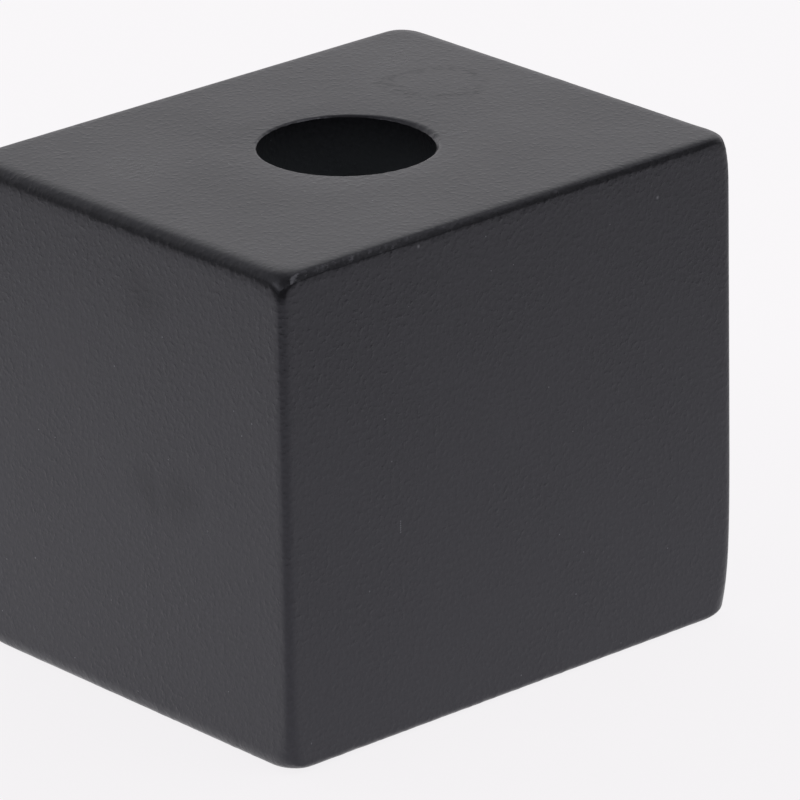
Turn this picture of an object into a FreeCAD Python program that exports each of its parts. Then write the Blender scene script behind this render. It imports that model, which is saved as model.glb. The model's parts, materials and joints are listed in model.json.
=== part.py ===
import FreeCAD, Part
import os
import Sketcher

# Lead screw nut housing: one rounded block, bored through for the barrel of a flanged nut.
# Millimetres. +Z runs up along the bore and the origin is the centre of the underside.
# The nut's flange seats on the underside. The +Y side bolts to the carriage.

NODE = "nut_housing"
SHEET = "Sizes"

# name of the cell, its value, what it measures
SIZES = [
    ("block_width", 34.0, "block along X"),
    ("block_depth", 27.7, "block along Y"),
    ("block_height", 29.5, "block along Z, the length of the bore"),
    ("edge_rounding", 0.8, "radius on all twelve outer edges"),
    ("bore_diameter", 10.2, "bore for the nut's barrel"),
    ("bore_rim_chamfer", 0.3, "broken edge at both ends of the bore"),
    ("flange_screw_circle", 16.0, "pitch circle of the nut's flange screws"),
    ("flange_screw_angle", 45.0, "first flange screw, in degrees from +X"),
    ("flange_screw_count", 4, "screws through the nut's flange"),
    ("flange_tap_drill", 2.5, "tapping drill of an M3 thread"),
    ("flange_hole_depth", 8.0, "full depth of a flange screw hole"),
    ("mounting_pitch_width", 24.0, "carriage screws, apart along X"),
    ("mounting_pitch_height", 20.0, "carriage screws, apart along Z"),
    ("mounting_tap_drill", 3.3, "tapping drill of an M4 thread"),
    ("mounting_hole_depth", 10.0, "full depth of a carriage screw hole"),
    ("tapped_mouth_chamfer", 0.4, "countersink at a tapped hole's mouth, on the radius"),
    ("drill_point_angle", 118.0, "cone at the bottom of a drilled hole, in degrees"),
]

# The numbers by which a sketch knows its own axes, and a curve's start, end and centre
ORIGIN_AXES = -1
START_POINT, END_POINT, CENTRE_POINT = range(1, 4)

FULL_TURN = 360.0
COUNTERSINK_ANGLE = 90.0
RADIUS_TOLERANCE = 1e-6


def fill_sheet(doc):
    """One row for each driving size: its name, its value under that alias, and a note."""
    sheet = doc.addObject("Spreadsheet::Sheet", SHEET)
    for row, (name, value, note) in enumerate(SIZES, start=1):
        sheet.set(f"A{row}", name)
        sheet.set(f"B{row}", str(value))
        sheet.setAlias(f"B{row}", name)
        sheet.set(f"C{row}", note)
    doc.recompute()
    return sheet


def origin_feature(body, role):
    """The body's own origin plane or axis with this role."""
    for feature in body.Origin.OriginFeatures:
        if feature.Role == role:
            return feature
    raise RuntimeError(f"no origin feature {role}")


def sketch_on(body, name, role):
    """An empty sketch lying on one of the body's origin planes."""
    sketch = body.newObject("Sketcher::SketchObject", name)
    sketch.AttachmentSupport = (origin_feature(body, role), [""])
    sketch.MapMode = "FlatFace"
    return sketch


def dimension(sketch, name, constraint, expression):
    """Adds a named dimension to a sketch and ties it to the sheet."""
    index = sketch.addConstraint(constraint)
    sketch.renameConstraint(index, name)
    sketch.setExpression(f"Constraints.{name}", expression)


def add_circle(sketch, name, centre, radius, diameter_expression):
    """A circle whose diameter comes from the sheet. Returns its place in the sketch."""
    upward = FreeCAD.Vector(0, 0, 1)
    circle = sketch.addGeometry(Part.Circle(centre, upward, radius), False)
    diameter = Sketcher.Constraint("Diameter", circle, 2 * radius)
    dimension(sketch, f"{name}_diameter", diameter, diameter_expression)
    return circle


def block_outline(body, sheet):
    """The block seen from above: a rectangle centred on the bore's axis."""
    sketch = sketch_on(body, "block_outline", "XY_Plane")
    half_width = sheet.block_width / 2
    half_depth = sheet.block_depth / 2
    corners = [
        FreeCAD.Vector(-half_width, -half_depth, 0),
        FreeCAD.Vector(half_width, -half_depth, 0),
        FreeCAD.Vector(half_width, half_depth, 0),
        FreeCAD.Vector(-half_width, half_depth, 0),
    ]
    for start, end in zip(corners, corners[1:] + corners[:1]):
        sketch.addGeometry(Part.LineSegment(start, end), False)
    near, right, far, left = range(len(corners))
    for side, following in [(near, right), (right, far), (far, left), (left, near)]:
        sketch.addConstraint(Sketcher.Constraint("Coincident", side, END_POINT, following, START_POINT))
    for side in (near, far):
        sketch.addConstraint(Sketcher.Constraint("Horizontal", side))
    for side in (right, left):
        sketch.addConstraint(Sketcher.Constraint("Vertical", side))
    centred = Sketcher.Constraint("Symmetric", near, START_POINT, right, END_POINT, ORIGIN_AXES, START_POINT)
    sketch.addConstraint(centred)
    width = Sketcher.Constraint("DistanceX", near, START_POINT, near, END_POINT, 2 * half_width)
    dimension(sketch, "width", width, f"{SHEET}.block_width")
    depth = Sketcher.Constraint("DistanceY", right, START_POINT, right, END_POINT, 2 * half_depth)
    dimension(sketch, "depth", depth, f"{SHEET}.block_depth")
    return sketch


def rounded_block(body, sheet):
    """The outline raised to the block's height, with every outer edge rounded."""
    block = body.newObject("PartDesign::Pad", "block")
    block.Profile = block_outline(body, sheet)
    block.setExpression("Length", f"{SHEET}.block_height")
    body.Document.recompute()
    rounding = body.newObject("PartDesign::Fillet", "rounded_edges")
    edge_names = [f"Edge{number}" for number, _ in enumerate(block.Shape.Edges, start=1)]
    rounding.Base = (block, edge_names)
    rounding.setExpression("Radius", f"{SHEET}.edge_rounding")
    body.Document.recompute()


def is_circle(edge, radius):
    """Whether an edge is round with this radius. The pole of a ball corner has no curve to ask."""
    if edge.Degenerated or not isinstance(edge.Curve, Part.Circle):
        return False
    return abs(edge.Curve.Radius - radius) < RADIUS_TOLERANCE


def nut_bore(body, sheet):
    """The plain bore right through the block, with the sharp edge broken at both ends."""
    radius = sheet.bore_diameter / 2
    sketch = sketch_on(body, "bore_circle", "XY_Plane")
    circle = add_circle(sketch, "bore", FreeCAD.Vector(0, 0, 0), radius, f"{SHEET}.bore_diameter")
    on_axis = Sketcher.Constraint("Coincident", circle, CENTRE_POINT, ORIGIN_AXES, START_POINT)
    sketch.addConstraint(on_axis)
    bore = body.newObject("PartDesign::Pocket", "bore")
    bore.Profile = sketch
    bore.Type = "ThroughAll"
    bore.Reversed = True
    body.Document.recompute()
    rims = [
        f"Edge{number}"
        for number, edge in enumerate(bore.Shape.Edges, start=1)
        if is_circle(edge, radius)
    ]
    broken_edge = body.newObject("PartDesign::Chamfer", "bore_rims")
    broken_edge.Base = (bore, rims)
    broken_edge.setExpression("Size", f"{SHEET}.bore_rim_chamfer")
    body.Document.recompute()


def tapped_hole(body, name, sketch, drill, depth):
    """A blind hole drilled to tapping size, with a small countersink and a drill point."""
    body.Document.recompute()
    hole = body.newObject("PartDesign::Hole", name)
    hole.Profile = sketch
    hole.ThreadType = "None"
    hole.DepthType = "Dimension"
    hole.DrillPoint = "Angled"
    hole.HoleCutType = "Countersink"
    hole.HoleCutCountersinkAngle = COUNTERSINK_ANGLE
    hole.Reversed = True
    hole.setExpression("Diameter", f"{SHEET}.{drill}")
    hole.setExpression("Depth", f"{SHEET}.{depth}")
    hole.setExpression("DrillPointAngle", f"{SHEET}.drill_point_angle")
    hole.setExpression("HoleCutDiameter", f"{SHEET}.{drill} + 2 * {SHEET}.tapped_mouth_chamfer")
    body.Document.recompute()
    return hole


def flange_holes(body, sheet):
    """The tapped holes in the underside for the nut's flange, evenly round the bore."""
    sketch = sketch_on(body, "flange_screw_place", "XY_Plane")
    spoke_end = FreeCAD.Vector(sheet.flange_screw_circle / 2, 0, 0)
    spoke = sketch.addGeometry(Part.LineSegment(FreeCAD.Vector(0, 0, 0), spoke_end), True)
    circle = add_circle(
        sketch, "flange_hole", spoke_end, sheet.flange_tap_drill / 2, f"{SHEET}.flange_tap_drill"
    )
    sketch.addConstraint(Sketcher.Constraint("Coincident", spoke, START_POINT, ORIGIN_AXES, START_POINT))
    sketch.addConstraint(Sketcher.Constraint("Coincident", circle, CENTRE_POINT, spoke, END_POINT))
    reach = Sketcher.Constraint("Distance", spoke, spoke_end.x)
    dimension(sketch, "pitch_radius", reach, f"{SHEET}.flange_screw_circle / 2")
    turn = Sketcher.Constraint("Angle", spoke, 0.0)
    dimension(sketch, "first_angle", turn, f"{SHEET}.flange_screw_angle * 1 deg")
    hole = tapped_hole(body, "flange_hole", sketch, "flange_tap_drill", "flange_hole_depth")
    ring = body.newObject("PartDesign::PolarPattern", "flange_hole_ring")
    ring.Originals = [hole]
    ring.Axis = (origin_feature(body, "Z_Axis"), [""])
    ring.Angle = FULL_TURN
    ring.setExpression("Occurrences", f"{SHEET}.flange_screw_count")
    body.Tip = ring
    body.Document.recompute()


def mounting_holes(body, sheet):
    """The tapped holes in the +Y side for the carriage, on the corners of a rectangle."""
    sketch = sketch_on(body, "mounting_screw_places", "XZ_Plane")
    sketch.setExpression("AttachmentOffset.Base.z", f"-{SHEET}.block_depth / 2")
    radius = sheet.mounting_tap_drill / 2
    for side, across in (("left", -1), ("right", 1)):
        for level, along in (("lower", -1), ("upper", 1)):
            name = f"{level}_{side}"
            place = FreeCAD.Vector(
                across * sheet.mounting_pitch_width / 2,
                sheet.block_height / 2 + along * sheet.mounting_pitch_height / 2,
                0,
            )
            circle = add_circle(sketch, name, place, radius, f"{SHEET}.mounting_tap_drill")
            sideways = Sketcher.Constraint("DistanceX", circle, CENTRE_POINT, place.x)
            dimension(sketch, f"{name}_across", sideways, f"{across} * {SHEET}.mounting_pitch_width / 2")
            upright = Sketcher.Constraint("DistanceY", circle, CENTRE_POINT, place.y)
            middle = f"{SHEET}.block_height / 2"
            dimension(
                sketch, f"{name}_height", upright, f"{middle} + {along} * {SHEET}.mounting_pitch_height / 2"
            )
    tapped_hole(body, "mounting_holes", sketch, "mounting_tap_drill", "mounting_hole_depth")


def check_removed(body, before, cut):
    """Stops if a cut took nothing away, as it does when it points out of the block."""
    if body.Shape.Volume >= before:
        raise RuntimeError(f"{cut} removed nothing")


def check_document(doc):
    """Stops if any object failed, or a finished body is empty or not valid."""
    for item in doc.Objects:
        if "Invalid" in item.State or "Error" in item.State:
            raise RuntimeError(f"{item.Name} failed: {item.State}")
    for body in doc.findObjects("PartDesign::Body"):
        if body.Shape.isNull() or not body.Shape.isValid():
            raise RuntimeError(f"{body.Label} has no valid shape")


doc = FreeCAD.newDocument("lead_screw_nut_housing")
sheet = fill_sheet(doc)
housing = doc.addObject("PartDesign::Body", NODE)
housing.Label = NODE
housing.Placement = FreeCAD.Placement()
rounded_block(housing, sheet)
for cut in (nut_bore, flange_holes, mounting_holes):
    volume_before = housing.Shape.Volume
    cut(housing, sheet)
    check_removed(housing, volume_before, cut.__name__)
check_document(doc)
os.makedirs("parts", exist_ok=True)
housing.Shape.exportStep(f"parts/{housing.Label}.step")
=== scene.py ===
import json
import math

import bmesh
import bpy
import numpy as np
from mathutils import Matrix, Vector


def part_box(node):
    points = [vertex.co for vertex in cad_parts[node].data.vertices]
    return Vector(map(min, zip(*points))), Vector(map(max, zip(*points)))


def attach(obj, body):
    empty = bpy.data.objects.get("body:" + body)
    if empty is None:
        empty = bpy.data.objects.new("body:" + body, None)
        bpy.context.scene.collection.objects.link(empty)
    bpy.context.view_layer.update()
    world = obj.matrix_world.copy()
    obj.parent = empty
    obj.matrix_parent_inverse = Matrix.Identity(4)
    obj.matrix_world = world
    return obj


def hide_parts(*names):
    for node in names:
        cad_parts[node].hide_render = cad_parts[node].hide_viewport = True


# Lead screw nut housing: one black coated block with a plain bore, standing on a pale studio floor.
# Shapes are worked out in millimetres about the block's middle and put into meshes in metres.

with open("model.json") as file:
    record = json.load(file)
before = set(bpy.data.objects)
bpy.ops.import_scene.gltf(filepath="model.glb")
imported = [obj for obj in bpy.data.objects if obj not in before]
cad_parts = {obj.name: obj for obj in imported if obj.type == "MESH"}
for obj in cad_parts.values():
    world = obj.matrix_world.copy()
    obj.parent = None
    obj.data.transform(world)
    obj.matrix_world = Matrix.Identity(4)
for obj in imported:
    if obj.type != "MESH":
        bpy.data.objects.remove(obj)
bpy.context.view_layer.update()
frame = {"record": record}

NODE = "nut_housing"
BODY = "root"
MM = 0.001

# Sizes that the solid model gives
block_low, block_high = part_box(NODE)
HALF = (np.array(block_high) - np.array(block_low)) / MM / 2
MIDDLE = (np.array(block_high) + np.array(block_low)) / MM / 2
MOUNTS = {mount["name"]: mount["dims"] for mount in frame["record"]["mounts"]}
BORE_RADIUS = MOUNTS["nut_bore"]["r_mm"]
FLANGE_CIRCLE_RADIUS = MOUNTS["flange_screws"]["pcd_mm"] / 2
FLANGE_DRILL_RADIUS = MOUNTS["flange_screws"]["hole_r_mm"]
CARRIAGE_HALF_PITCH = np.array(
    [MOUNTS["carriage_screws"]["spacing_x_mm"], MOUNTS["carriage_screws"]["spacing_y_mm"]]
) / 2
CARRIAGE_DRILL_RADIUS = MOUNTS["carriage_screws"]["hole_r_mm"]

# The block's sides, each as the axis across it and the way it faces
UPPER_SIDE = (2, 1)
UNDERSIDE = (2, -1)
NEAR_END = (0, -1)
NEAR_FRONT = (1, -1)
CARRIAGE_SIDE = (1, 1)

# Worn edges, in mm and degrees. Each list draws one edge's section from the flat face outwards: how far
# along the section, and how steeply the surface has turned by then. The ends face X and the fronts face Y.
TOP_EDGE_OF_ENDS = [
    (0, 0), (0.17, 1), (0.39, 3.5), (0.58, 8), (0.73, 14.5), (0.83, 23), (0.97, 38), (1.04, 43),
    (1.25, 53), (1.34, 63), (1.39, 68), (1.56, 76), (1.67, 82), (1.78, 84.5), (2.04, 88), (2.5, 90),
]
TOP_EDGE_OF_FRONTS = [
    (0, 0), (0.37, 1), (0.59, 3.5), (0.72, 8), (0.8, 14.5), (0.85, 23), (0.9, 43), (0.95, 53),
    (1.07, 58), (1.31, 63), (1.36, 80), (1.4, 84.5), (1.49, 86.5), (1.62, 88), (2.1, 90),
]
# The -Y front's upper edge is worn steeper towards +X
TOP_EDGE_FAR_ALONG = [
    (0, 0), (0.3, 1.5), (0.5, 5), (0.62, 10), (0.7, 16), (0.78, 25), (0.87, 43), (0.93, 56),
    (0.99, 66), (1.09, 72), (1.24, 76), (1.3, 81), (1.35, 85), (1.44, 87), (1.55, 88.5), (2.1, 90),
]
FOOT_EDGE_OF_ENDS = [(0, 0), (0.6, 45), (0.9, 68), (1.5, 90)]
FOOT_EDGE_OF_FRONTS = [(0, 0), (0.75, 40), (1.15, 90)]
# The upright edges, from a front round to an end
UPRIGHT_EDGE = [
    (0, 0), (0.14, 3), (0.21, 6.5), (0.34, 13), (0.45, 24.5), (0.51, 33), (0.57, 45),
    (0.68, 56), (0.74, 67), (0.8, 76), (0.87, 82), (0.94, 86), (1.19, 90),
]
# The near upright edge towards its top, where it is flatter
UPRIGHT_EDGE_HIGH = [
    (0, 0), (0.16, 3), (0.28, 7), (0.36, 13), (0.41, 24), (0.45, 35), (0.58, 40),
    (0.72, 46), (0.77, 62), (0.82, 77), (0.88, 84), (0.97, 87.5), (1.19, 90),
]
UPRIGHT_HIGH_REACH = 9.0
# The corners by the signs of their X and Y, named as the camera sees them, and in order round the block
NEAR_CORNER = (-1, -1)
RIGHT_CORNER = (1, -1)
FAR_CORNER = (1, 1)
LEFT_CORNER = (-1, 1)
CORNERS = [FAR_CORNER, LEFT_CORNER, NEAR_CORNER, RIGHT_CORNER]
# How much rounder the corners grow in plan towards the upper face and the foot
TOP_CORNER_GROWTH = 0.85
TOP_CORNER_FADE = {NEAR_CORNER: 0.65, RIGHT_CORNER: 1.5, FAR_CORNER: 1.5, LEFT_CORNER: 1.5}
FOOT_CORNER_GROWTH = {NEAR_CORNER: 1.2, RIGHT_CORNER: 1.6, FAR_CORNER: 1.5, LEFT_CORNER: 1.5}
FOOT_CORNER_FADE = {NEAR_CORNER: 0.95, RIGHT_CORNER: 2.2, FAR_CORNER: 0.95, LEFT_CORNER: 0.95}
# How much more or less the edges are worn towards each corner
CORNER_WEAR = {NEAR_CORNER: 1.0, RIGHT_CORNER: 0.85, FAR_CORNER: 1.1, LEFT_CORNER: 1.0}
# How much further down the walls the upper edge is worn right at each corner
CORNER_DIP = {NEAR_CORNER: 0.28, RIGHT_CORNER: -0.2, FAR_CORNER: 0.15, LEFT_CORNER: 0.15}
CORNER_DIP_REACH = 1.2
# How far the -X end and the -Y front lean in at the top
LEAN = np.array([0.16, 0.09])
# How unevenly the edges are worn, as a share of their depth and a wavelength
UNEVEN_SHARE = 0.02
UNEVEN_WAVE = 4.0
UNEVEN_SEED = 4
UNEVEN_FINE_SHARE = 0.03
UNEVEN_FINE_WAVE = 1.0
UNEVEN_FINE_SEED = 5
WAVE_COUNT = 9
WAVE_STRETCHES = 0.5, 1.8

# Spacing of the mesh, in mm or in rows
EDGE_ROWS = 26
WALL_ROWS = 26
CORNER_STEPS = 14
FACE_PITCH = 0.3
END_STEPS = round(HALF[1] / FACE_PITCH)
FRONT_STEPS = round(HALF[0] / FACE_PITCH)
FACE_ROWS = 4
SPOKE_STEPS = 16
BORE_ROWS = 6
SECTION_STEPS = 400
MERGE_DISTANCE = 0.002
SHARP_ANGLE = math.radians(20)

# Bore rims, in mm and degrees. The upper rim is broken widest at one side of the bore.
RIM_EDGE = [(0, 0), (0.17, 25), (0.23, 45), (0.37, 45), (0.41, 90)]
RIM_ROWS = 12
RIM_NARROW_SHARE = 0.55
RIM_WIDEST_AT = math.radians(-25)
RIM_WIDE_SPREAD = math.radians(50)
RIM_WIDE_GROWTH = 0.75
RIM_UNEVEN_SHARE = 0.04
RIM_UNEVEN_WAVE = 1.2
RIM_UNEVEN_SEED = 7

# Tapped holes, in mm and degrees. A thread's cut runs from 0 at its crest to 1 at its root across one turn.
MOUTH_CHAMFER = 0.4
MOUTH_LIP = 0.06
DRILL_POINT_HALF_ANGLE = math.radians(59)
FIRST_HOLE_ANGLE = 45
HOLE_ANGLE_STEP = 90
HOLE_COUNT = 4
THREAD_ROWS_PER_TURN = 8
THREAD_SEGMENTS = 32
THREAD_PLACES = [0, 1 / 4, 9 / 16, 11 / 16, 1]
THREAD_CUTS = [0, 0, 1, 1, 0]
FLANGE_THREAD = {"major": 1.5, "pitch": 0.5, "depth": 6.0, "hole_depth": 8.0}
CARRIAGE_THREAD = {"major": 2.0, "pitch": 0.7, "depth": 8.0, "hole_depth": 10.0}


def waves(place, wavelength, seed):
    """Smooth unevenness along a line: the sum of sine waves with random lengths. Its spread is about one."""
    draw = np.random.default_rng(seed)
    stretch = draw.uniform(*WAVE_STRETCHES, WAVE_COUNT) / wavelength
    phase = draw.uniform(0, 2 * np.pi, WAVE_COUNT)
    swing = np.sin(2 * np.pi * np.outer(place, stretch) + phase)
    return swing.sum(axis=1) * math.sqrt(2 / WAVE_COUNT)


def edge_section(turns, rows):
    """A worn edge's section, drawn by turning. The slope runs evenly between the listed angles, and the
    reach and the drop are the running sums of its cosine and sine. The rows are shared out half by length
    and half by turn. Returns each row's distance inside the edge, its drop below the flat face, and its
    turn."""
    length, angle = np.array(turns, float).T
    fine = np.linspace(0, length[-1], SECTION_STEPS)
    slope = np.radians(np.interp(fine, length, angle))
    step = fine[1]
    between = (slope[1:] + slope[:-1]) / 2
    reach = np.concatenate([[0], np.cumsum(np.cos(between)) * step])
    drop = np.concatenate([[0], np.cumsum(np.sin(between)) * step])
    pace = fine / fine[-1] + slope / slope[-1]
    share = np.linspace(0, pace[-1], rows + 1)
    inset = reach[-1] - np.interp(share, pace, reach)
    return inset, np.interp(share, pace, drop), np.interp(share, pace, slope)


def corner_growth(corner, below_top, above_foot):
    """The round added to an upright corner: none half way down, and more towards the upper face and foot."""
    top = TOP_CORNER_GROWTH * math.exp(-((below_top / TOP_CORNER_FADE[corner]) ** 2))
    return top + FOOT_CORNER_GROWTH[corner] * math.exp(-above_foot / FOOT_CORNER_FADE[corner])


def corner_flatness(corner, below_top):
    """How far a corner takes the flatter upright section: only the near one, and less further down."""
    if corner != NEAR_CORNER:
        return 0.0
    return math.exp(-((below_top / UPRIGHT_HIGH_REACH) ** 2))


def quarter_outline(inset_ends, inset_fronts, growth, flatness):
    """A quarter of the block in plan, from the middle of the +X end to the middle of the +Y front. It is a
    rectangle drawn in from the sides, whose corner follows a blend of the two upright sections, with a
    round of the growth's radius added to it. The straights take equal steps, so every quarter has as many
    points. The third column is each point's turn away from the end towards the front, from 0 to 1."""
    half_x, half_y = HALF[0] - inset_ends, HALF[1] - inset_fronts
    usual = np.array(edge_section(UPRIGHT_EDGE, CORNER_STEPS))
    flatter = np.array(edge_section(UPRIGHT_EDGE_HIGH, CORNER_STEPS))
    inset, drop, turn = ((1 - flatness) * usual + flatness * flatter)[:, ::-1]
    corner_x = half_x - inset - growth * (1 - np.sin(turn))
    corner_y = half_y - drop - growth * (1 - np.cos(turn))
    end = np.linspace(0, corner_y[0], END_STEPS, endpoint=False)
    front = np.linspace(corner_x[-1], 0, FRONT_STEPS + 1)[1:]
    x = np.concatenate([np.full(END_STEPS, half_x), corner_x, front])
    y = np.concatenate([end, corner_y, np.full(FRONT_STEPS, half_y)])
    turned = np.concatenate([np.zeros(END_STEPS), np.cos(turn) ** 2, np.ones(FRONT_STEPS)])
    return np.stack([x, y, turned], axis=1)


def outline(inset_ends, inset_fronts, below_top, above_foot):
    """One loop of the block in plan, once about from the middle of the +X end: a quarter for each corner,
    mirrored into place. Also returns each point's turn away from its end towards a front."""
    quarters = []
    for corner in CORNERS:
        growth = corner_growth(corner, below_top, above_foot)
        flatness = corner_flatness(corner, below_top)
        part = quarter_outline(inset_ends, inset_fronts, growth, flatness) * np.array([*corner, 1])
        backwards = corner[0] != corner[1]
        quarters.append((part[::-1] if backwards else part)[:-1])
    loop = np.concatenate(quarters)
    return loop[:, :2], loop[:, 2]


def corner_wear(flat):
    """How much the edges are worn at each point of a loop: a blend of the four corners' wear by place."""
    across = (flat / HALF[:2] + 1) / 2
    share = {-1: 1 - across, 1: across}
    return sum(wear * share[x][:, 0] * share[y][:, 1] for (x, y), wear in CORNER_WEAR.items())


def corner_dip(flat):
    """How much further down the upper edge reaches along a loop: bell curves about the corners."""
    total = np.zeros(len(flat))
    for corner, dip in CORNER_DIP.items():
        away = np.linalg.norm(flat - np.array(corner) * HALF[:2], axis=1)
        total += dip * np.exp(-((away / CORNER_DIP_REACH) ** 2))
    return total


def unevenness(wall):
    """How unevenly the edges are worn along a loop: long and short waves, the short ones fading out towards
    the +Y front, whose wall has to keep a smooth border."""
    place = np.concatenate([[0], np.cumsum(np.linalg.norm(np.diff(wall, axis=0), axis=1))])
    place = np.abs(place - place[-1] / 2)
    coarse = UNEVEN_SHARE * waves(place, UNEVEN_WAVE, UNEVEN_SEED)
    fine_share = UNEVEN_FINE_SHARE * np.clip(1 - wall[:, 1] / HALF[1], 0, 1)
    return 1 + coarse + fine_share * waves(place, UNEVEN_FINE_WAVE, UNEVEN_FINE_SEED)


def worn_edge(ends_turns, fronts_turns, depths, uneven):
    """One worn edge as rows of outlines from its flat face to the wall. Each row is drawn in by its
    section's inset, and its third column is the drop from the flat. Both turn from the ends' section to
    the fronts' round the corners, and grow with the wear. The depths give how far below the upper face
    and above the foot a row lies for its drop."""
    ends_inset, ends_drop, _ = edge_section(ends_turns, EDGE_ROWS)
    fronts_inset, fronts_drop, _ = edge_section(fronts_turns, EDGE_ROWS)
    places = [depths((end + front) / 2) for end, front in zip(ends_drop, fronts_drop)]
    rows = zip(ends_inset, fronts_inset, places)
    loops = np.array([outline(end, front, *place)[0] for end, front, place in rows])
    wall, turned = outline(0, 0, *places[-1])
    wear = corner_wear(wall)
    loops = wall + (loops - wall) * wear[:, None]
    drop = (ends_drop[:, None] * (1 - turned) + fronts_drop[:, None] * turned) * wear * uneven
    return np.concatenate([loops, drop[..., None]], axis=-1)


def leaned(points):
    """Moves points of a plain block with the lean of its -X end and -Y front: most at the top of those two
    sides, and fading evenly towards the foot and towards the sides across from them."""
    rise = (points[..., 2:] / HALF[2] + 1) / 2
    moved = points[..., :2] + LEAN * rise * (1 - points[..., :2] / HALF[:2]) / 2
    return np.concatenate([moved, points[..., 2:]], axis=-1)


def block_skin():
    """The block's outside as rows of outlines, from the flat of the upper face over its worn edge, down the
    walls and round the foot to the flat of the underside. The -Y front's upper edge blends to its steeper
    section over the middle half of its length. The walls' rows lie closer together near both ends, where
    the corners open out."""
    wall, _ = outline(0, 0, HALF[2], HALF[2])
    uneven = unevenness(wall)
    height = 2 * HALF[2]
    usual, steeper = (
        worn_edge(TOP_EDGE_OF_ENDS, turns, lambda drop: (drop, height - drop), uneven)
        for turns in (TOP_EDGE_OF_FRONTS, TOP_EDGE_FAR_ALONG)
    )
    steeper_share = np.clip(wall[:, :1] / HALF[0] + 1 / 2, 0, 1) * (wall[:, 1:] < 0)
    top = (1 - steeper_share) * usual + steeper_share * steeper
    foot = worn_edge(FOOT_EDGE_OF_ENDS, FOOT_EDGE_OF_FRONTS, lambda drop: (height - drop, drop), uneven)
    top[..., 2] = HALF[2] - top[..., 2] * (1 + corner_dip(wall))
    foot[..., 2] = foot[..., 2] - HALF[2]
    foot = foot[::-1]
    walls = []
    for share in (1 - np.cos(np.pi * np.linspace(0, 1, WALL_ROWS + 1)[1:-1])) / 2:
        level = (1 - share) * top[-1, :, 2] + share * foot[0, :, 2]
        middle_level = float(level.mean())
        loop, _ = outline(0, 0, HALF[2] - middle_level, middle_level + HALF[2])
        walls.append(np.column_stack([loop, level]))
    return leaned(np.concatenate([top, np.array(walls), foot]))


def ring_rows(outer, inner, rows):
    """Rows that blend from one closed loop to another, both ends included."""
    share = np.linspace(0, 1, rows + 1)[:, None, None]
    return (1 - share) * outer[None] + share * inner[None]


def circle(centre, radius, angle):
    """Points of a circle in the plane of a face."""
    return np.asarray(centre) + radius * np.stack([np.cos(angle), np.sin(angle)], axis=1)


class Surface:
    """Collects patches of points and the faces between them, to be merged into one mesh."""

    def __init__(self):
        self.points = []
        self.faces = []
        self.count = 0

    def add_points(self, points):
        """Adds points and returns the number of the first one."""
        first = self.count
        self.points.append(points.reshape(-1, 3))
        self.count += len(self.points[-1])
        return first

    def add_grid(self, grid, closed, window=None):
        """Adds rows of points with four-sided faces between neighbours. A closed grid joins its last column
        to its first. A window, as its first and last rows and columns, is left open."""
        rows, columns = grid.shape[:2]
        first = self.add_points(grid)
        number = first + np.arange(rows * columns).reshape(rows, columns)
        if closed:
            number = np.concatenate([number, number[:, :1]], axis=1)
        quads = np.stack([number[:-1, :-1], number[:-1, 1:], number[1:, 1:], number[1:, :-1]], axis=-1)
        kept = np.ones(quads.shape[:2], bool)
        if window:
            top, bottom, left, right = window
            kept[top:bottom, left:right] = False
        self.faces.append(quads[kept])

    def add_stitch(self, outer, outer_angle, inner, inner_angle):
        """Joins two closed loops with different counts by triangles. Both run the same way round, each
        sorted by angle, and every step along one loop takes the other loop's nearest earlier point."""
        outer_first = self.add_points(outer)
        inner_first = self.add_points(inner)
        outer_next = np.append(outer_angle[1:], outer_angle[0] + 2 * np.pi)
        inner_next = np.append(inner_angle[1:], inner_angle[0] + 2 * np.pi)
        outer_count, inner_count = len(outer), len(inner)
        steps = np.arange(outer_count)
        opposite = np.searchsorted(inner_next, outer_next, side="right") % inner_count
        outer_ends = [outer_first + steps, outer_first + (steps + 1) % outer_count, inner_first + opposite]
        steps = np.arange(inner_count)
        opposite = np.searchsorted(outer_next, inner_next, side="left") % outer_count
        inner_ends = [inner_first + (steps + 1) % inner_count, inner_first + steps, outer_first + opposite]
        self.faces.append(np.stack(outer_ends, axis=1))
        self.faces.append(np.stack(inner_ends, axis=1))

    def mesh(self, name):
        """One closed mesh in metres: doubles merged, faces turned outwards."""
        points = (np.concatenate(self.points) + MIDDLE) * MM
        data = bpy.data.meshes.new(name)
        faces = [face for patch in self.faces for face in patch.tolist()]
        data.from_pydata(points.tolist(), [], faces)
        shell = bmesh.new()
        shell.from_mesh(data)
        bmesh.ops.remove_doubles(shell, verts=shell.verts, dist=MERGE_DISTANCE * MM)
        bmesh.ops.recalc_face_normals(shell, faces=shell.faces)
        shell.to_mesh(data)
        shell.free()
        return data


def on_face(flat, side):
    """Lifts points of a face's plane to one of the block's sides, keeping the axes' order."""
    axis, sign = side
    others = [number for number in range(3) if number != axis]
    lifted = np.empty(flat.shape[:-1] + (3,))
    lifted[..., others[0]] = flat[..., 0]
    lifted[..., others[1]] = flat[..., 1]
    lifted[..., axis] = sign * HALF[axis]
    return lifted


def thread_cut(turn):
    """A screw thread's cut across one turn: a quarter flat, a slope, an eighth flat and a slope back."""
    return np.interp(turn % 1.0, THREAD_PLACES, THREAD_CUTS)


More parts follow.
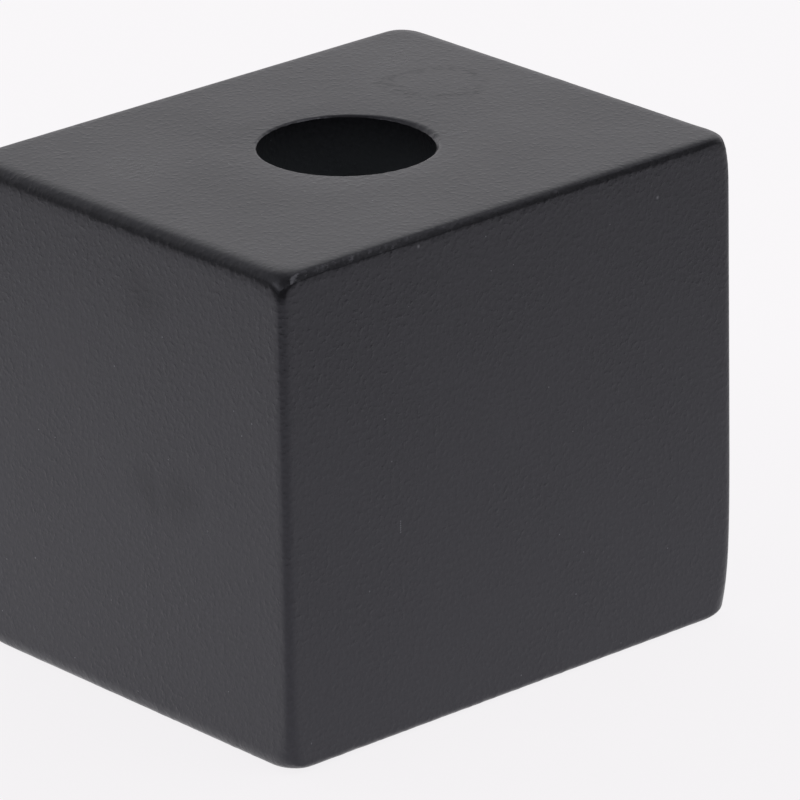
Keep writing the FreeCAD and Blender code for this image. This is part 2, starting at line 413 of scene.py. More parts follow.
def tapped_hole(surface, side, centre, drill_radius, thread, loop):
    """One tapped hole and the part of the face round it. The wall's radius is the larger of the countersink,
    which narrows by as much as it deepens, and a thread wound at one pitch a turn, which runs out to the
    plain drilled wall and ends in the drill's cone."""
    mouth_radius = drill_radius + MOUTH_CHAMFER
    offset = loop - centre
    angle = np.arctan2(offset[:, 1], offset[:, 0])
    order = np.argsort(angle)
    loop, angle = loop[order], angle[order]
    lip = circle(centre, mouth_radius + MOUTH_LIP, angle)
    surface.add_grid(on_face(ring_rows(loop, lip, FACE_ROWS), side), closed=True)
    turn_angle = np.linspace(-np.pi, np.pi, THREAD_SEGMENTS, endpoint=False)
    mouth = circle(centre, mouth_radius, turn_angle)
    surface.add_stitch(on_face(lip, side), angle, on_face(mouth, side), turn_angle)
    rows = round(thread["depth"] / thread["pitch"] * THREAD_ROWS_PER_TURN)
    depth = np.linspace(0, thread["depth"], rows + 1)[:, None]
    fade = np.clip((thread["depth"] - depth) / thread["pitch"], 0, 1)
    cut = thread_cut(depth / thread["pitch"] - turn_angle[None] / (2 * np.pi)) * fade
    radius = drill_radius + (thread["major"] - drill_radius) * cut
    radius = np.maximum(radius, mouth_radius - depth)
    tip_depth = thread["hole_depth"] + drill_radius / math.tan(DRILL_POINT_HALF_ANGLE)
    end_depth = np.array([[thread["hole_depth"]], [tip_depth]])
    end_radius = np.array([[drill_radius], [0.0]]) * np.ones_like(turn_angle)[None]
    depth = np.concatenate([depth, end_depth]) * np.ones_like(turn_angle)[None]
    radius = np.concatenate([radius, end_radius])
    across = centre[0] + radius * np.cos(turn_angle)
    along = centre[1] + radius * np.sin(turn_angle)
    wall = on_face(np.stack([across, along], axis=-1), side)
    axis, sign = side
    wall[..., axis] -= sign * depth
    surface.add_grid(wall, closed=True)


def spoke(start, end):
    """Points along a straight line between two points of a face, without its ends."""
    share = np.linspace(0, 1, SPOKE_STEPS + 1)[1:-1, None]
    return (1 - share) * start + share * end


def quarter_loops(outer, inner):
    """Splits the space between two loops into quarters. Each quarter's loop runs along the inner loop, out
    along one spoke, back along the outer loop and in along another spoke."""
    quarter = len(outer) // 4
    for first in range(0, len(outer), quarter):
        numbers = np.arange(first, first + quarter + 1) % len(outer)
        start, end = numbers[0], numbers[-1]
        way_out = spoke(inner[end], outer[end])
        way_in = spoke(outer[start], inner[start])
        yield np.concatenate([inner[numbers], way_out, outer[numbers[::-1]], way_in])


def rim_growth(angle):
    """How large the bore's upper rim is broken at each angle, as a share of the lower rim: an even share
    with a bell curve about its widest side on top of it, and a little uneven."""
    away = np.abs((angle - RIM_WIDEST_AT + np.pi) % (2 * np.pi) - np.pi)
    wide = RIM_WIDE_GROWTH * np.exp(-((away / RIM_WIDE_SPREAD) ** 2))
    place = np.abs(angle - np.pi) * BORE_RADIUS
    return RIM_NARROW_SHARE + wide + RIM_UNEVEN_SHARE * waves(place, RIM_UNEVEN_WAVE, RIM_UNEVEN_SEED)


def bore_wall(surface, angle, rim_inset, rim_drop):
    """The bore from the upper rim to the lower one: each rim is a broken edge, turned about the axis, and
    the wall between is straight. The upper rim is broken more at some angles than at others."""
    growth = rim_growth(angle)[None]
    even = np.ones_like(growth)
    upper_depth = rim_drop[:, None] * growth
    lower_depth = 2 * HALF[2] - rim_drop[::-1, None] * even
    share = np.linspace(0, 1, BORE_ROWS + 1)[1:-1, None]
    straight = (1 - share) * upper_depth[-1:] + share * lower_depth[:1]
    depth = np.concatenate([upper_depth, straight, lower_depth])
    radius = BORE_RADIUS + np.concatenate(
        [rim_inset[:, None] * growth, np.zeros_like(straight), rim_inset[::-1, None] * even]
    )
    wall = np.stack([radius * np.cos(angle), radius * np.sin(angle), HALF[2] - depth], axis=-1)
    surface.add_grid(wall, closed=True)


def carriage_window():
    """The rows and columns of the skin's flat wall on the carriage side, between its rounded edges."""
    left = END_STEPS + CORNER_STEPS
    return EDGE_ROWS, EDGE_ROWS + WALL_ROWS, left, left + 2 * FRONT_STEPS


def window_loop(skin, window):
    """The border of the open wall in the plane of the carriage side, once about from the middle of its
    +X side towards +Z."""
    top, bottom, left, right = window
    flat = skin[..., [0, 2]]
    middle = (top + bottom) // 2
    up_right = flat[middle:top:-1, left]
    along_top = flat[top, left:right]
    down_left = flat[top:bottom, right]
    along_foot = flat[bottom, right:left:-1]
    rest = flat[bottom:middle:-1, left]
    return np.concatenate([up_right, along_top, down_left, along_foot, rest])


def hole_directions():
    """The directions of a face's tapped holes from its middle, as pairs of cosine and sine."""
    angles = np.radians(FIRST_HOLE_ANGLE + HOLE_ANGLE_STEP * np.arange(HOLE_COUNT))
    return np.stack([np.cos(angles), np.sin(angles)], axis=1)


def housing_mesh():
    """The whole block: its skin, the upper face as one ring about the bore, the underside and the carriage
    side as quarters about their tapped holes, and the bore's wall."""
    surface = Surface()
    skin = block_skin()
    columns = skin.shape[1]
    window = carriage_window()
    surface.add_grid(skin, closed=True, window=window)
    angle = np.linspace(0, 2 * np.pi, columns, endpoint=False)
    rim_inset, rim_drop, _ = edge_section(RIM_EDGE, RIM_ROWS)
    upper_rim = circle((0, 0), (BORE_RADIUS + rim_inset[0] * rim_growth(angle))[:, None], angle)
    lower_rim = circle((0, 0), BORE_RADIUS + rim_inset[0], angle)
    bore_wall(surface, angle, rim_inset, rim_drop)
    upper_flat, under_flat = skin[0, :, :2], skin[-1, :, :2]
    surface.add_grid(on_face(ring_rows(upper_flat, upper_rim, FACE_ROWS), UPPER_SIDE), closed=True)
    for way, quarter in zip(hole_directions(), quarter_loops(under_flat, lower_rim)):
        centre = FLANGE_CIRCLE_RADIUS * way
        tapped_hole(surface, UNDERSIDE, centre, FLANGE_DRILL_RADIUS, FLANGE_THREAD, quarter)
    border = window_loop(skin, window)
    hub = np.zeros_like(border)
    for way, quarter in zip(hole_directions(), quarter_loops(border, hub)):
        centre = CARRIAGE_HALF_PITCH * np.sign(way)
        distinct = np.linalg.norm(quarter, axis=1) > MERGE_DISTANCE
        distinct[0] = True
        quarter = quarter[distinct]
        tapped_hole(surface, CARRIAGE_SIDE, centre, CARRIAGE_DRILL_RADIUS, CARRIAGE_THREAD, quarter)
    return surface.mesh(NODE + "_finished")


# The sRGB curve: a short straight start, then a power
SRGB_KNEE = 0.04045
SRGB_SLOPE = 12.92
SRGB_OFFSET = 0.055
SRGB_POWER = 2.4


def linear(hex_colour):
    """An sRGB colour such as #1e1d25 as the linear values that a shader takes."""
    srgb = np.array([int(hex_colour[place : place + 2], 16) for place in (1, 3, 5)]) / 255
    curve = ((srgb + SRGB_OFFSET) / (1 + SRGB_OFFSET)) ** SRGB_POWER
    return (*np.where(srgb <= SRGB_KNEE, srgb / SRGB_SLOPE, curve).tolist(), 1.0)


def node(tree, kind, inputs=None, **settings):
    """Adds one node. Settings are its own properties; inputs are values, or the sockets that feed them."""
    made = tree.nodes.new(kind)
    for name, value in settings.items():
        setattr(made, name, value)
    for socket, value in (inputs or {}).items():
        if isinstance(value, bpy.types.NodeSocket):
            tree.links.new(value, made.inputs[socket])
        else:
            made.inputs[socket].default_value = value
    return made


def new_material(name):
    """An empty node material and its tree."""
    material = bpy.data.materials.new(name)
    material.use_nodes = True
    material.node_tree.nodes.clear()
    return material, material.node_tree


def per_metre(size_mm):
    """The texture scale at which one feature measures this many millimetres."""
    return 1 / (size_mm * MM)


# The coating's patterns: the size of one feature in mm, and how many finer layers it has. The peel and the
# speckle of a real coat are about a tenth of a millimetre, which is too fine to show, so both are drawn two
# or three times as coarse.
PATTERNS = {
    "peel": (0.3, 2.0),
    "speckle": (0.22, 1.0),
    "lumps": (0.6, 1.0),
    "clouds": (7.0, 2.0),
    "ragged": (3.0, 2.0),
}
PATTERN_MIDDLE = 0.5
# Depths of the grain, in metres. The nibs are the peel's higher grains, and some patches have more of them.
PEEL_DEPTH = 1.5e-5
NIB_LOW, NIB_HIGH = 0.5, 0.8
NIB_DEPTH = 0.65e-5
NIB_SHARES = 0.6, 1.3
PATCH_LOW, PATCH_HIGH = 0.4, 0.6
LUMP_DEPTH = 2.3e-5
# Where the lumps and the bore's painted light lie, in mm, as attributes of the mesh's points
EDGE_ATTRIBUTE = "edge"
BORE_ATTRIBUTE = "bore"
EDGE_REACH = 0.8
RIM_LUMP_SHARE = 0.4
BORE_PAINTED_LIGHT_DEPTH = 0.5
# Marks, in mm: scattered dust, then dust with a short fibre, grit, dents, smears and a ring, each at a place
# in the plane of its side. One speck of dust lies on the near upright edge.
DUST_CELL = 1.9
DUST_RADIUS = 0.05
DUST_CORE_SHARE = 0.6
PLACED_DUST_RADIUS = 0.08
FIBRE_ENDS = (-8.61, -1.75), (-8.62, -2.4)
FIBRE_STEPS = 6
FIBRE_SPOTS = np.linspace(*FIBRE_ENDS, FIBRE_STEPS).tolist()
DUST_SPOTS = {
    NEAR_END: [(0.6, 5.71), (7.54, -0.04), (8.21, -8.08), (-10.29, 4.61), (-11.16, 5.56), (-3.66, 8.6)],
    NEAR_FRONT: [(-10.98, -5.27), (-9.66, 4.61), (2.65, 3.18), (-15.46, -13.08), *FIBRE_SPOTS],
    UPPER_SIDE: [(-5.16, -8.02)],
}
EDGE_DUST_SPOT = (0.25 - HALF[0], 0.15 - HALF[1], 12.3)
GRIT_RADIUS = 0.16
GRIT_SPOTS = {NEAR_FRONT: [(-6.96, 14.03), (11.15, 12.33)]}
DENT_RADIUS = 0.22
DENT_DEPTH = 1.2e-5
DENT_SPOTS = {UPPER_SIDE: [(-8.39, 4.08), (-8.1, 4.2), (-10.08, 4.79)], NEAR_FRONT: [(-13.46, -6.66)]}
SMEAR_RADIUS = 2.4
SMEAR_SPOTS = {NEAR_END: [(-2.0, 10.4), (-2.2, -0.9), (-5.0, -0.8)]}
RING_SPOT = (10.9, 4.5)
RING_RADIUS = 2.55
RING_HALF_WIDTH = 0.75
RING_BREAK_LOW, RING_BREAK_HIGH = 0.42, 0.62
RAGGED_REACH = 2.4
# Colours and sheen of the coat
COAT_DARK = "#030304"
COAT_LIGHT = "#2a2a2e"
SMEAR_COLOUR = "#0c0c0e"
DUST_COLOUR = "#77777c"
# Painted light: a paler grey for the bore's wall, standing in for stray light inside it
BORE_PAINTED_LIGHT_COLOUR = "#55595d"
SHEEN_TINT = "#f2f1ff"
COAT_IOR = 1.557
ROUGHNESS_LOW, ROUGHNESS_HIGH = 0.27, 0.33
CLOUDS_LOW, CLOUDS_HIGH = 0.3, 0.7
SMEAR_ROUGHNESS = 0.07


def on_sides(spots):
    """Lifts each side's marks from its plane to places on the plain block, all in one list."""
    return np.concatenate([on_face(np.array(marks), side) for side, marks in spots.items()])


def in_metres(spot):
    """A place on the plain block, in mm about its middle, as object coordinates on the leaning one."""
    return ((leaned(np.array(spot)) + MIDDLE) * MM).tolist()


def nearness(tree, place, spots, radius):
    """How near a place is to any of some spots: 1 at a spot, fading to 0 at a radius in mm."""
    nearest = None
    for spot in spots:
        away = node(tree, "ShaderNodeVectorMath", {0: place, 1: in_metres(spot)}, operation="DISTANCE")
        away = away.outputs["Value"]
        if nearest:
            away = node(tree, "ShaderNodeMath", {0: nearest, 1: away}, operation="MINIMUM").outputs[0]
        nearest = away
    fade = node(
        tree,
        "ShaderNodeMapRange",
        {"Value": nearest, "From Min": 0.0, "From Max": radius * MM, "To Min": 1.0, "To Max": 0.0},
        interpolation_type="SMOOTHSTEP",
    )
    return fade.outputs["Result"]


def smears_and_ring(tree, place, pattern):
    """The smears and the broken ring, each from 0 to 1. Both are nearness to a spot or a circle, at a place
    that noise has shifted, so that their borders are ragged. The smears include the ring."""
    shift = node(
        tree,
        "ShaderNodeVectorMath",
        {0: pattern["ragged"]["Color"], 1: [PATTERN_MIDDLE] * 3},
        operation="SUBTRACT",
    )
    ragged = node(
        tree,
        "ShaderNodeVectorMath",
        {0: shift.outputs["Vector"], 1: [RAGGED_REACH * MM] * 3, 2: place},
        operation="MULTIPLY_ADD",
    ).outputs["Vector"]
    middle = in_metres(on_face(np.array(RING_SPOT), UPPER_SIDE))
    away = node(tree, "ShaderNodeVectorMath", {0: ragged, 1: middle}, operation="DISTANCE")
    away = node(
        tree, "ShaderNodeMath", {0: away.outputs["Value"], 1: RING_RADIUS * MM}, operation="SUBTRACT"
    )
    away = node(tree, "ShaderNodeMath", {0: away.outputs[0]}, operation="ABSOLUTE")
    circled = node(
        tree,
        "ShaderNodeMapRange",
        {"Value": away.outputs[0], "From Max": RING_HALF_WIDTH * MM, "To Min": 1.0, "To Max": 0.0},
        interpolation_type="SMOOTHSTEP",
    )
    broken = node(
        tree,
        "ShaderNodeMapRange",
        {"Value": pattern["lumps"]["Fac"], "From Min": RING_BREAK_LOW, "From Max": RING_BREAK_HIGH},
    )
    ring = node(
        tree,
        "ShaderNodeMath",
        {0: circled.outputs["Result"], 1: broken.outputs["Result"]},
        operation="MULTIPLY",
    ).outputs[0]
    smears = nearness(tree, ragged, on_sides(SMEAR_SPOTS), SMEAR_RADIUS)
    smears = node(tree, "ShaderNodeMath", {0: ring, 1: smears}, operation="MAXIMUM").outputs[0]
    return smears, ring


def coat_height(tree, place, pattern, ring):
    """The coat's height in metres: the peel, its nibs by patches, lumps on the edges and along the ring, and
    a few dents, each times its depth."""
    nibs = node(
        tree,
        "ShaderNodeMapRange",
        {"Value": pattern["peel"]["Fac"], "From Min": NIB_LOW, "From Max": NIB_HIGH},
        interpolation_type="SMOOTHSTEP",
    ).outputs["Result"]
    patches = node(
        tree,
        "ShaderNodeMapRange",
        {
            "Value": pattern["clouds"]["Fac"],
            "From Min": PATCH_LOW,
            "From Max": PATCH_HIGH,
            "To Min": NIB_SHARES[0],
            "To Max": NIB_SHARES[1],
        },
    ).outputs["Result"]
    nibs = node(tree, "ShaderNodeMath", {0: nibs, 1: patches}, operation="MULTIPLY").outputs[0]
    edge = node(tree, "ShaderNodeAttribute", attribute_name=EDGE_ATTRIBUTE).outputs["Fac"]
    lumpy = node(tree, "ShaderNodeMath", {0: ring, 1: edge}, operation="MAXIMUM").outputs[0]
    lumps = node(
        tree, "ShaderNodeMath", {0: pattern["lumps"]["Fac"], 1: PATTERN_MIDDLE}, operation="SUBTRACT"
    ).outputs[0]
    lumps = node(tree, "ShaderNodeMath", {0: lumps, 1: lumpy}, operation="MULTIPLY").outputs[0]
    dents = nearness(tree, place, on_sides(DENT_SPOTS), DENT_RADIUS)
    height = 0.0
    layers = [
        (pattern["peel"]["Fac"], PEEL_DEPTH),
        (nibs, NIB_DEPTH),
        (lumps, LUMP_DEPTH),
        (dents, -DENT_DEPTH),
    ]
    for layer, depth in layers:
        added = node(tree, "ShaderNodeMath", {0: layer, 1: depth, 2: height}, operation="MULTIPLY_ADD")
        height = added.outputs[0]
    return height


def coat_colour(tree, place, pattern, smears):
    """The coat's colour: a fine speckle of two blacks, duller where it is smeared, with specks of dust and
    grit, and painted lighter inside the bore, a grey that stands in for stray light on its dark wall."""
    cells = node(tree, "ShaderNodeTexVoronoi", {"Vector": place, "Scale": per_metre(DUST_CELL)})
    dust = node(
        tree,
        "ShaderNodeMapRange",
        {
            "Value": cells.outputs["Distance"],
            "From Min": DUST_CORE_SHARE * DUST_RADIUS / DUST_CELL,
            "From Max": DUST_RADIUS / DUST_CELL,
            "To Min": 1.0,
            "To Max": 0.0,
        },
    ).outputs["Result"]
    specks = [
        (on_sides(DUST_SPOTS), PLACED_DUST_RADIUS),
        ([EDGE_DUST_SPOT], PLACED_DUST_RADIUS),
        (on_sides(GRIT_SPOTS), GRIT_RADIUS),
    ]
    for spots, radius in specks:
        placed = nearness(tree, place, spots, radius)
        dust = node(tree, "ShaderNodeMath", {0: dust, 1: placed}, operation="MAXIMUM").outputs[0]
    # Painted light inside the bore, below its rims
    bore = node(tree, "ShaderNodeAttribute", attribute_name=BORE_ATTRIBUTE).outputs["Fac"]
    colour = linear(COAT_DARK)
    layers = [
        (pattern["speckle"]["Fac"], COAT_LIGHT),
        (smears, SMEAR_COLOUR),
        (dust, DUST_COLOUR),
        (bore, BORE_PAINTED_LIGHT_COLOUR),
    ]
    for share, over in layers:
        mixed = node(
            tree, "ShaderNodeMix", {"Factor": share, "A": colour, "B": linear(over)}, data_type="RGBA"
        )
        colour = mixed.outputs["Result"]
    return colour


def satin_black_coating():
    """Satin black coating on machined aluminium: near black, with a soft sheen that brightens at a glancing
    angle and is a little cloudy. It has a fine orange peel with nibs like sprayed paint, lumps on the edges,
    a faint speckle, some dust and grit, and a few duller smears with one broken ring. Inside the bore the
    colour is painted a paler grey, which stands in for stray light on its dark wall."""
    material, tree = new_material("satin_black_coating")
    place = node(tree, "ShaderNodeTexCoord").outputs["Object"]
    pattern = {}
    for name, (size, detail) in PATTERNS.items():
        settings = {"Vector": place, "Scale": per_metre(size), "Detail": detail}
        pattern[name] = node(tree, "ShaderNodeTexNoise", settings).outputs
    smears, ring = smears_and_ring(tree, place, pattern)
    height = coat_height(tree, place, pattern, ring)
    bump = node(tree, "ShaderNodeBump", {"Height": height, "Strength": 1.0, "Distance": 1.0})
    cloudy = node(
        tree,
        "ShaderNodeMapRange",
        {
            "Value": pattern["clouds"]["Fac"],
            "From Min": CLOUDS_LOW,
            "From Max": CLOUDS_HIGH,
            "To Min": ROUGHNESS_LOW,
            "To Max": ROUGHNESS_HIGH,
        },
    )
    roughness = node(
        tree,
        "ShaderNodeMath",
        {0: smears, 1: SMEAR_ROUGHNESS, 2: cloudy.outputs["Result"]},
        operation="MULTIPLY_ADD",
    )
    shader = node(
        tree,
        "ShaderNodeBsdfPrincipled",
        {
            "Base Color": coat_colour(tree, place, pattern, smears),
            "Roughness": roughness.outputs[0],
            "IOR": COAT_IOR,
            "Specular Tint": linear(SHEEN_TINT),
            "Normal": bump.outputs["Normal"],
        },
    )
    node(tree, "ShaderNodeOutputMaterial", {"Surface": shader.outputs["BSDF"]})
    return material


def new_object(name, mesh, material):
    """An object at the origin that shows a mesh in one material."""
    made = bpy.data.objects.new(name, mesh)
    made.data.materials.append(material)
    bpy.context.scene.collection.objects.link(made)
    return made


def mark_edges(mesh):
    """Gives each point its nearness to an edge, from 1 on the edge to 0 on the flats: the second smallest
    distance to the block's six sides, and the distance to the upper rim, as a bell curve. Points inside the
    bore are marked as well."""
    points = np.empty(len(mesh.vertices) * 3, np.float32)
    mesh.vertices.foreach_get("co", points)
    points = points.reshape(-1, 3) / MM - MIDDLE
    from_axis = np.hypot(points[:, 0], points[:, 1])
    to_edge = np.sort(HALF - np.abs(points), axis=1)[:, 1]
    to_rim = np.hypot(from_axis - BORE_RADIUS, HALF[2] - points[:, 2])
    near_edge = np.exp(-((to_edge / EDGE_REACH) ** 2))
    near_rim = RIM_LUMP_SHARE * np.exp(-((to_rim / EDGE_REACH) ** 2))
    # Inside the bore, below its rims, the colour is painted paler to stand in for stray light
    deep = np.abs(points[:, 2]) < HALF[2] - BORE_PAINTED_LIGHT_DEPTH
    inside = deep & (from_axis < BORE_RADIUS + MERGE_DISTANCE)
    marks = {EDGE_ATTRIBUTE: np.maximum(near_edge, near_rim), BORE_ATTRIBUTE: inside}
    for name, values in marks.items():
        attribute = mesh.attributes.new(name, "FLOAT", "POINT")
        attribute.data.foreach_set("value", values.astype(np.float32))


def make_housing():
    """The finished block, which stands for the plain solid."""
    mesh = housing_mesh()
    mesh.shade_smooth()
    mesh.set_sharp_from_angle(angle=SHARP_ANGLE)
    mark_edges(mesh)
    housing = new_object("coated_housing", mesh, satin_black_coating())
    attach(housing, BODY)
    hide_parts(NODE)


# Floor, in metres. Its glow is painted light and shade: brightest at a spot, it fades with distance to its
# level far away, as the camera sees it and as the block mirrors it.
FLOOR_RADII = [0.0001, 0.05, 0.2, 0.6, 1.6]
FLOOR_SEGMENTS = 96
FLOOR_DROP = 0.00002
FLOOR_GLOW = 0.885
FLOOR_SEEN = {"spot": (0.085, 0.06, 0), "start": 0.05, "end": 0.20, "far": 0.945}
FLOOR_MIRRORED = {"spot": (0.0, 0.03, 0), "start": 0.03, "end": 0.36, "far": 0.03}
CARD_WHITE = "#fffdff"
UNLIT_BLACK = "#000000"


def pale_floor_paint():
    """Matt white card. Seen by the camera or in a reflection it mostly glows, a painted light that fades
    from a bright spot, so that the block's shadow stays faint; from below it can be seen through."""
    material, tree = new_material("white_card_painted_light")
    path = node(tree, "ShaderNodeLightPath").outputs
    seen = path["Is Camera Ray"]
    for ray in ("Is Glossy Ray", "Is Transmission Ray"):
        seen = node(tree, "ShaderNodeMath", {0: seen, 1: path[ray]}, operation="MAXIMUM").outputs[0]
    share = node(tree, "ShaderNodeMath", {0: seen, 1: FLOOR_GLOW}, operation="MULTIPLY")
    place = node(tree, "ShaderNodeTexCoord").outputs["Object"]
    fades = []
    # Painted light and shade: the glow fades from a bright spot, once for reflections and once for the
    # camera
    for floor in (FLOOR_MIRRORED, FLOOR_SEEN):
        away = node(tree, "ShaderNodeVectorMath", {0: place, 1: floor["spot"]}, operation="DISTANCE")
        fade = node(
            tree,
            "ShaderNodeMapRange",
            {
                "Value": away.outputs["Value"],
                "From Min": floor["start"],
                "From Max": floor["end"],
                "To Min": 1.0,
                "To Max": floor["far"],
            },
        )
        fades.append(fade.outputs["Result"])
    fade = node(tree, "ShaderNodeMix", {"Factor": path["Is Camera Ray"], "A": fades[0], "B": fades[1]})
    tone = node(
        tree,
        "ShaderNodeMix",
        {"Factor": fade.outputs["Result"], "A": linear(UNLIT_BLACK), "B": linear(CARD_WHITE)},
        data_type="RGBA",
    ).outputs["Result"]
    matt = node(tree, "ShaderNodeBsdfDiffuse", {"Color": tone})
    glow = node(tree, "ShaderNodeEmission", {"Color": tone, "Strength": 1.0})
    upper = node(tree, "ShaderNodeMixShader", {0: share.outputs[0], 1: matt.outputs[0], 2: glow.outputs[0]})
    side = node(tree, "ShaderNodeNewGeometry").outputs["Backfacing"]
    clear = node(tree, "ShaderNodeBsdfTransparent")
    both = node(tree, "ShaderNodeMixShader", {0: side, 1: upper.outputs[0], 2: clear.outputs[0]})
    node(tree, "ShaderNodeOutputMaterial", {"Surface": both.outputs[0]})
    return material


def make_floor():
    """A round sheet under the block: rings of points about the origin."""
    angle = np.linspace(0, 2 * np.pi, FLOOR_SEGMENTS, endpoint=False)
    radius = np.array(FLOOR_RADII)[:, None]
    level = np.full((len(FLOOR_RADII), FLOOR_SEGMENTS), -FLOOR_DROP)
    surface = Surface()
    surface.add_grid(np.stack([radius * np.cos(angle), radius * np.sin(angle), level], axis=-1), closed=True)
    mesh = bpy.data.meshes.new("floor")
    centre_cap = [list(range(FLOOR_SEGMENTS))]
    faces = surface.faces[0][:, ::-1].tolist() + centre_cap
    mesh.from_pydata(surface.points[0].tolist(), [], faces)
    floor = new_object("floor", mesh, pale_floor_paint())


# Backdrop, in metres and degrees
CAMERA_FORWARD_AZIMUTH = math.radians(48.45)
BACKDROP_RADIUS = 0.9
BACKDROP_HALF_WIDTH = math.radians(52)
BACKDROP_HEIGHT = 0.45
BACKDROP_COLUMNS = 49
BACKDROP_ROWS = 9
BACKDROP_LOW_GLOW = 0.86
BACKDROP_HIGH_GLOW = 0.6
BACKDROP_FADE_START = 0.315
BACKDROP_FADE_END = 0.41
BACKDROP_WHITE = "#f9f7f9"


def backdrop_paint():
    """The same white as the floor, given off by itself and dimmer towards its upper edge."""
    material, tree = new_material("white_backdrop")
    place = node(tree, "ShaderNodeTexCoord").outputs["Object"]
    height = node(tree, "ShaderNodeSeparateXYZ", {"Vector": place}).outputs["Z"]
    level = node(
        tree,
        "ShaderNodeMapRange",
        {
            "Value": height,
            "From Min": BACKDROP_FADE_START,
            "From Max": BACKDROP_FADE_END,
            "To Min": BACKDROP_LOW_GLOW,
            "To Max": BACKDROP_HIGH_GLOW,
        },
    ).outputs["Result"]
    glow = node(tree, "ShaderNodeEmission", {"Color": linear(BACKDROP_WHITE), "Strength": level})
    node(tree, "ShaderNodeOutputMaterial", {"Surface": glow.outputs[0]})
    return material


def make_backdrop():
    """A curved sheet behind the block: an arc about the origin, raised to a height."""
    turn = np.linspace(-BACKDROP_HALF_WIDTH, BACKDROP_HALF_WIDTH, BACKDROP_COLUMNS)
    height, angle = np.meshgrid(
        np.linspace(0, BACKDROP_HEIGHT, BACKDROP_ROWS), CAMERA_FORWARD_AZIMUTH + turn, indexing="ij"
    )
    across, along = BACKDROP_RADIUS * np.cos(angle), BACKDROP_RADIUS * np.sin(angle)
    surface = Surface()
    surface.add_grid(np.stack([across, along, height], axis=-1), closed=False)
    mesh = bpy.data.meshes.new("backdrop")
    mesh.from_pydata(surface.points[0].tolist(), [], surface.faces[0].tolist())
    backdrop = new_object("backdrop", mesh, backdrop_paint())


# A softbox on the right and a weak one on the left, both before the block: degrees, metres and watts
LAMPS = {
    "lamp_right": {
        "azimuth": -68, "elevation": 48, "distance": 0.9, "width": 0.5, "height": 0.45, "watts": 1.15
    },
    "panel_left": {
        "azimuth": 175, "elevation": 38, "distance": 0.9, "width": 0.6, "height": 0.5, "watts": 1.0
    },
}


def direction(azimuth, elevation):
    """The unit vector towards an azimuth and an elevation in radians."""
    level = math.cos(elevation)
    return Vector((math.cos(azimuth) * level, math.sin(azimuth) * level, math.sin(elevation)))


def aimed(position, target):
    """Turns an object's -Z axis from a position towards a target, its Y axis up."""
    turn = (Vector(target) - Vector(position)).to_track_quat("-Z", "Y")
    return Matrix.Translation(position) @ turn.to_matrix().to_4x4()


def make_lamps():
    """Soft rectangular lamps that look at the block's middle."""
    target = Vector(MIDDLE * MM)
    for name, lamp in LAMPS.items():
        data = bpy.data.lights.new(name, "AREA")
        data.shape = "RECTANGLE"
        data.size = lamp["width"]
        data.size_y = lamp["height"]
        data.energy = lamp["watts"]
        way = direction(math.radians(lamp["azimuth"]), math.radians(lamp["elevation"]))
        made = bpy.data.objects.new(name, data)
        made.matrix_world = aimed(target + way * lamp["distance"], target)
        bpy.context.scene.collection.objects.link(made)


# The room's level at turns away from its brightest side, from straight away (-1) to straight at it (1)
ROOM_GLOW_ELEVATION = math.radians(20)
ROOM_LEVELS = [
    (-1.0, 0.08), (-0.34, 0.07), (0.0, 0.19), (0.15, 0.25), (0.4, 0.44), (0.7, 0.6), (1.0, 0.74),
]


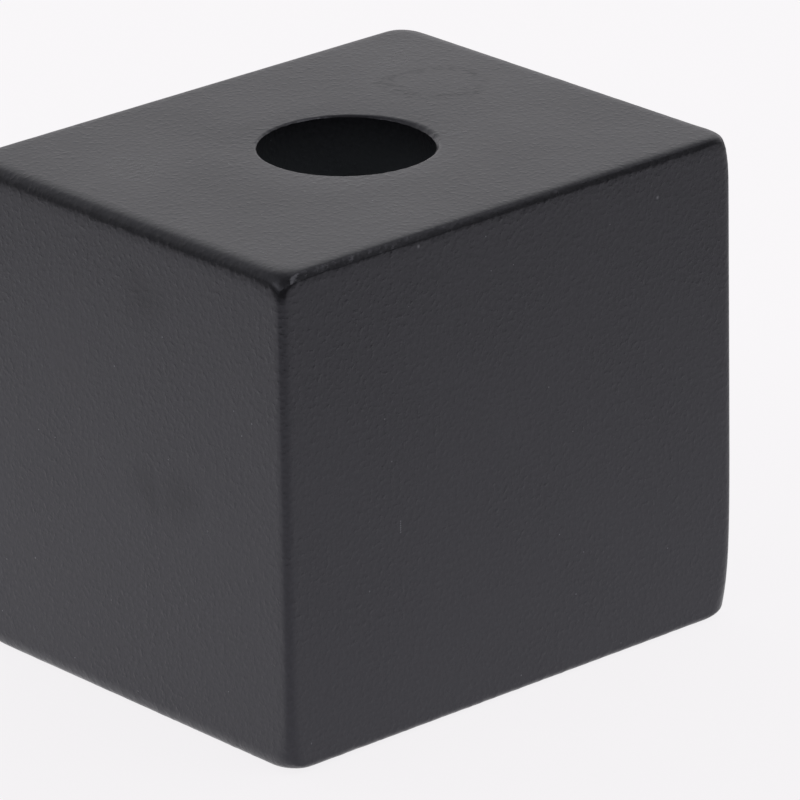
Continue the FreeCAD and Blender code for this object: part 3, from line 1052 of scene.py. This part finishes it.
def make_room():
    """The studio's own soft light: a wide glow low behind the block that dies away overhead and in front."""
    world = bpy.data.worlds.new("studio_room")
    world.use_nodes = True
    tree = world.node_tree
    tree.nodes.clear()
    brightest_way = direction(CAMERA_FORWARD_AZIMUTH, ROOM_GLOW_ELEVATION)
    way = node(tree, "ShaderNodeTexCoord").outputs["Generated"]
    facing = node(tree, "ShaderNodeVectorMath", {0: way, 1: brightest_way}, operation="DOT_PRODUCT")
    share = node(
        tree, "ShaderNodeMapRange", {"Value": facing.outputs["Value"], "From Min": -1.0, "From Max": 1.0}
    )
    ramp = node(tree, "ShaderNodeValToRGB", {"Fac": share.outputs["Result"]})
    stops = ramp.color_ramp.elements
    for number, (turn, level) in enumerate(ROOM_LEVELS):
        stop = stops[number] if number < len(stops) else stops.new(1.0)
        stop.position = (turn + 1) / 2
        stop.color = (level, level, level, 1.0)
    sky = node(tree, "ShaderNodeBackground", {"Color": ramp.outputs["Color"], "Strength": 1.0})
    node(tree, "ShaderNodeOutputWorld", {"Surface": sky.outputs[0]})
    bpy.context.scene.world = world


# Camera, in pixels, in degrees and in mm from the block's middle; its clipping is in metres
IMAGE_SIDE = 800
FOCAL_LENGTH_PIXELS = 7938.46
CAMERA_AZIMUTH = math.radians(-41.3349)
CAMERA_ELEVATION = math.radians(21.3126)
CAMERA_ROLL = math.radians(-1.0146)
CAMERA_DISTANCE = 454.25
CAMERA_SLIDE_RIGHT = 2.7943
CAMERA_SLIDE_UP = -0.6827
CLIP_START, CLIP_END = 0.01, 10.0


def make_camera():
    """The camera of the photograph: turned about the block's middle, then slid across its own view."""
    cos_e, sin_e = math.cos(CAMERA_ELEVATION), math.sin(CAMERA_ELEVATION)
    cos_a, sin_a = math.cos(CAMERA_AZIMUTH), math.sin(CAMERA_AZIMUTH)
    back = Vector((sin_a * cos_e, -cos_a * cos_e, sin_e))
    level_right = Vector((cos_a, sin_a, 0))
    level_up = back.cross(level_right)
    right = math.cos(CAMERA_ROLL) * level_right + math.sin(CAMERA_ROLL) * level_up
    up = back.cross(right)
    slide = right * CAMERA_SLIDE_RIGHT + up * CAMERA_SLIDE_UP
    position = (Vector(MIDDLE) + back * CAMERA_DISTANCE + slide) * MM
    data = bpy.data.cameras.new("photo_camera")
    data.lens = data.sensor_width * FOCAL_LENGTH_PIXELS / IMAGE_SIDE
    data.clip_start = CLIP_START
    data.clip_end = CLIP_END
    camera = bpy.data.objects.new("photo_camera", data)
    turn = Matrix((right, up, back)).transposed().to_4x4()
    camera.matrix_world = Matrix.Translation(position) @ turn
    bpy.context.scene.collection.objects.link(camera)
    bpy.context.scene.camera = camera


make_housing()
make_floor()
make_backdrop()
make_lamps()
make_room()
make_camera()
bpy.context.scene.view_settings.view_transform = "Standard"
